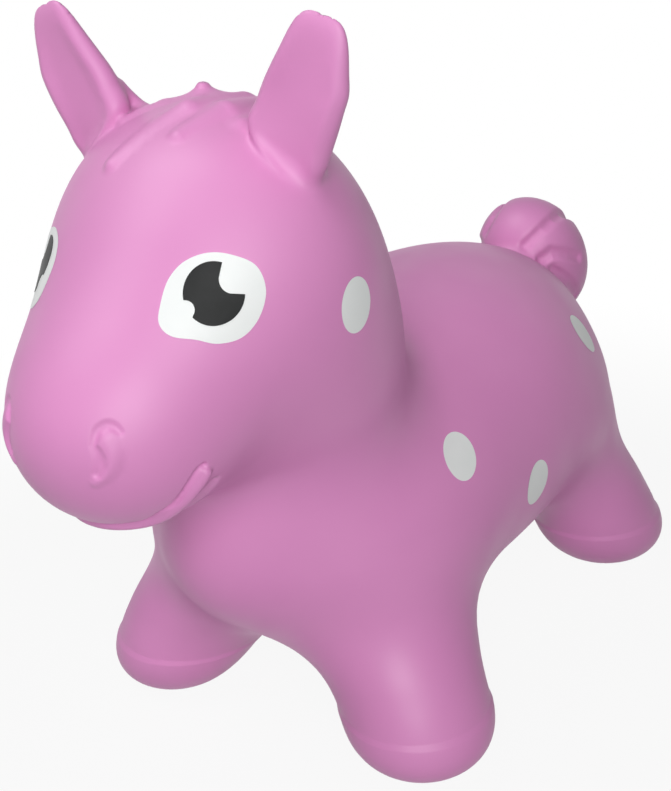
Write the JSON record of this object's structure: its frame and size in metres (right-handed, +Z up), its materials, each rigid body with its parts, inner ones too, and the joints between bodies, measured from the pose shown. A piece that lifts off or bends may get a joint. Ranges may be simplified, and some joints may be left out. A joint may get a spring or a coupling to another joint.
{
  "type": "bouncy ride-on animal",
  "caption": "Bouncy ride-on pony of inflated pink vinyl with upright ears, a curled tail, painted eyes and white spots, blown up through a plug valve in its belly.",
  "frame": {"origin": "on the floor under the middle of the bounding box, with the four soles at z = 0", "axes": "+Z up, -Y the way the pony faces, +X to its left; +Y runs from the head to the tail, the longest way"},
  "size_m": [0.3031, 0.6142, 0.4971],
  "materials": {
    "pink_vinyl": "soft satin PVC skin, matt in close view",
    "valve_seat_vinyl": "soft satin PVC, a little glossier than the skin",
    "plug_plastic": "smooth translucent-white stopper plastic",
    "white_paint": "sprayed satin paint",
    "black_paint": "sprayed paint, a little glossy"
  },
  "bodies": {
    "pony": {"vinyl_skin": "pink_vinyl", "valve_seat": "valve_seat_vinyl", "eye_white_left": "white_paint", "eye_white_right": "white_paint", "eye_pupil_left": "black_paint", "eye_pupil_right": "black_paint", "spot_cheek_left": "white_paint", "spot_cheek_right": "white_paint", "spot_shoulder_left": "white_paint", "spot_shoulder_right": "white_paint", "spot_flank_left": "white_paint", "spot_flank_right": "white_paint", "spot_hip_left": "white_paint", "spot_hip_right": "white_paint"},
    "plug": {"valve_plug": "plug_plastic"}
  },
  "joints": [
    {"name": "plug_slide", "type": "slide", "parent": "pony", "child": "plug", "axis": [0, 0, -1], "range_m": [0, 0.022]}
  ]
}
